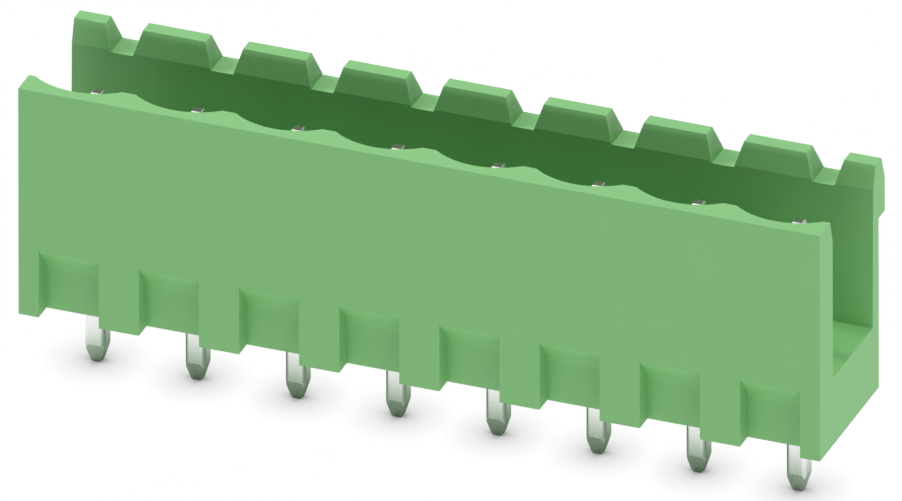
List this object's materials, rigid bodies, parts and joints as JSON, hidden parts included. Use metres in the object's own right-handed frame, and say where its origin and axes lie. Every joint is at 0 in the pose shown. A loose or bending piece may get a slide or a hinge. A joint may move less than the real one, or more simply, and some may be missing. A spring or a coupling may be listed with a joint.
{
  "type": "vertical pin header for a pluggable terminal block",
  "caption": "Straight board header with a row of square pins in an open-ended moulded trough, which takes a pluggable screw terminal block from above.",
  "frame": {"origin": "middle of the pin row, in the plane where the housing's underside seats on the board", "axes": "+X along the pin row, +Y from the plain front wall towards the latch side, +Z away from the board, the way the plug comes off"},
  "size_m": [0.04, 0.0085, 0.0159],
  "materials": {
    "housing_plastic": "matt moulded green polyamide",
    "pin_metal": "bright tin plating over copper alloy"
  },
  "bodies": {
    "root": {"housing": "housing_plastic", "contact_pin_1": "pin_metal", "contact_pin_2": "pin_metal", "contact_pin_3": "pin_metal", "contact_pin_4": "pin_metal", "contact_pin_5": "pin_metal", "contact_pin_6": "pin_metal", "contact_pin_7": "pin_metal", "contact_pin_8": "pin_metal"}
  },
  "joints": []
}
